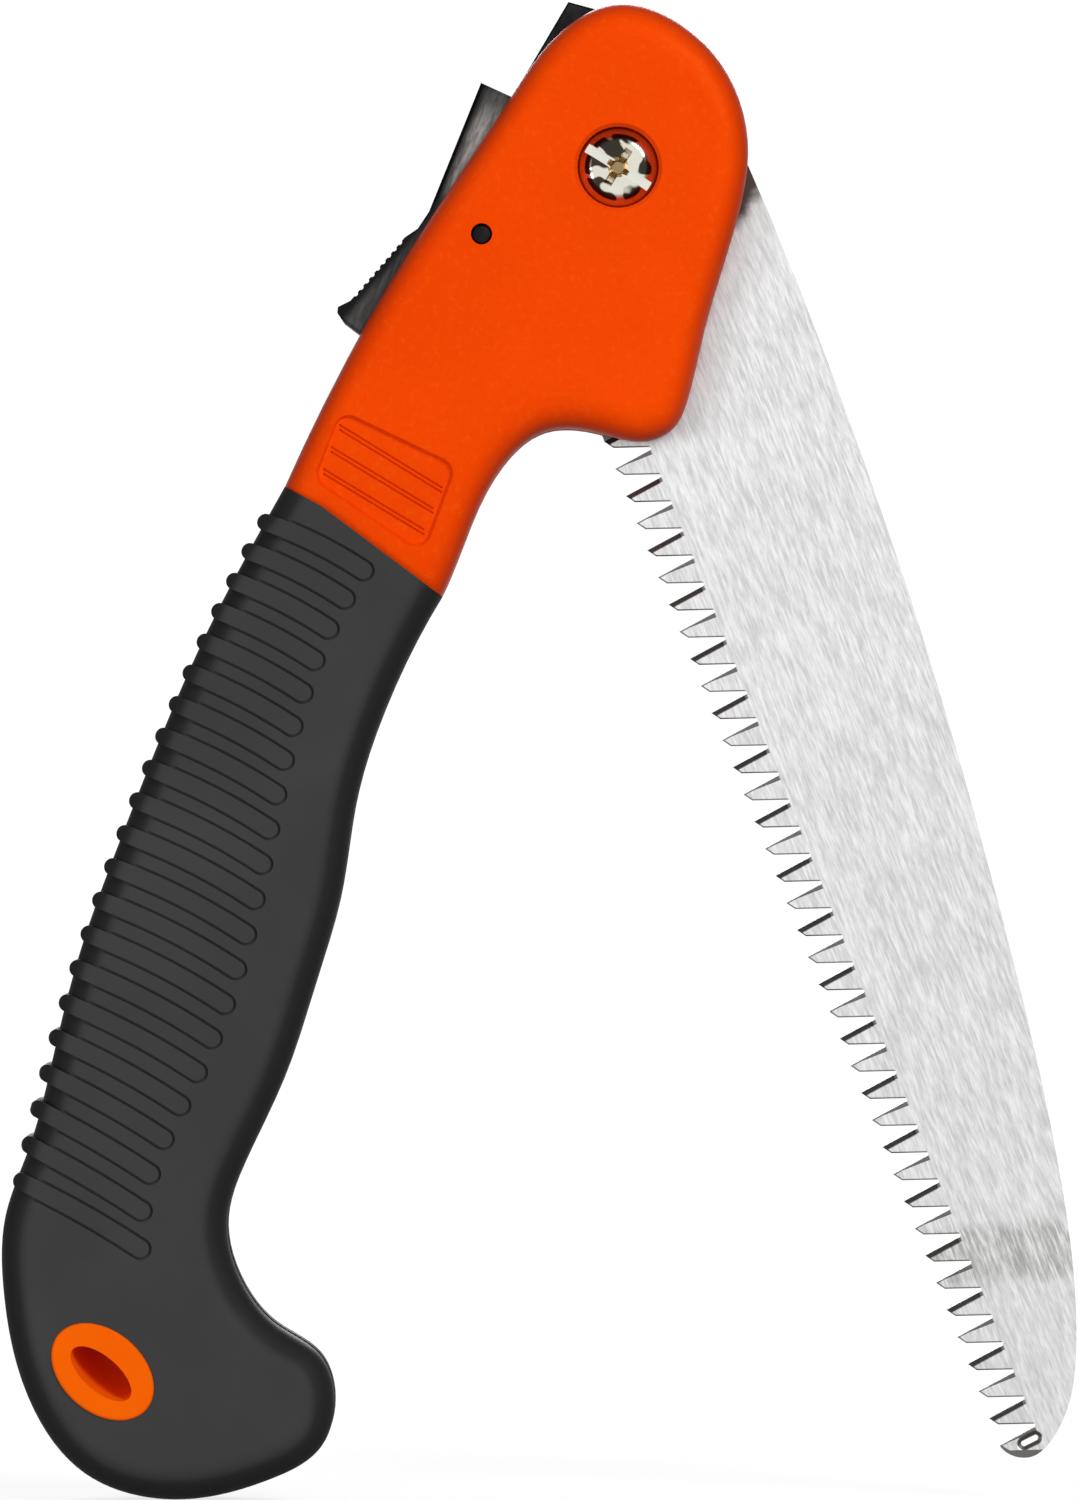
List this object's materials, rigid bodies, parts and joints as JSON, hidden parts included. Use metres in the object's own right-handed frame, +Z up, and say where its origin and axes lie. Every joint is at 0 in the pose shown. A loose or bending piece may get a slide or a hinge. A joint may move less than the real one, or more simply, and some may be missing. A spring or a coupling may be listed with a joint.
{
  "type": "folding pruning saw",
  "caption": "Folding pruning saw: curved-back blade on a screw pivot, rocker lock lever, moulded head and ribbed soft grip with a lanyard eye.",
  "frame": {"origin": "below the middle of the bounding box, at the level of the butt and the blade tip", "axes": "+Z up the handle towards the pivot head, +X across the saw to the side the blade swings from, +Y through the thickness, the screw head facing -Y; the blade lies in the plane Y = 0"},
  "size_m": [0.1563, 0.024, 0.2177],
  "materials": {
    "orange_plastic": "satin moulded",
    "eyelet_plastic": "satin moulded",
    "soft_grip": "matte soft touch",
    "black_plastic": "satin moulded",
    "blade_steel": "ground along the blade",
    "dark_steel": "blackened",
    "plated_steel": "bright yellow-nickel plating",
    "spring_steel": "drawn wire",
    "washer_nylon": "natural"
  },
  "bodies": {
    "handle": {"handle_core": "orange_plastic", "grip_overmould": "soft_grip", "lanyard_eyelet": "eyelet_plastic", "liner_near": "dark_steel", "liner_far": "dark_steel", "washer_near": "washer_nylon", "washer_far": "washer_nylon", "pivot_sleeve": "plated_steel", "spring_washer": "plated_steel", "pivot_screw": "plated_steel", "pivot_nut": "plated_steel", "lever_pin": "dark_steel"},
    "blade": {"saw_blade": "blade_steel"},
    "lever": {"lock_lever": "black_plastic", "latch_tooth": "dark_steel", "lever_spring": "spring_steel"}
  },
  "joints": [
    {"name": "blade_hinge", "type": "hinge", "parent": "handle", "child": "blade", "pos_m": [0.0114, 0, 0.1933], "axis": [0, -1, 0], "range_deg": [-37.5, 124.4]},
    {"name": "lever_hinge", "type": "hinge", "parent": "handle", "child": "lever", "pos_m": [-0.0084, 0, 0.1836], "axis": [0, -1, 0], "range_deg": [0, 10], "stiffness_Nm_per_rad": 0.4, "springref_deg": -14.32}
  ]
}
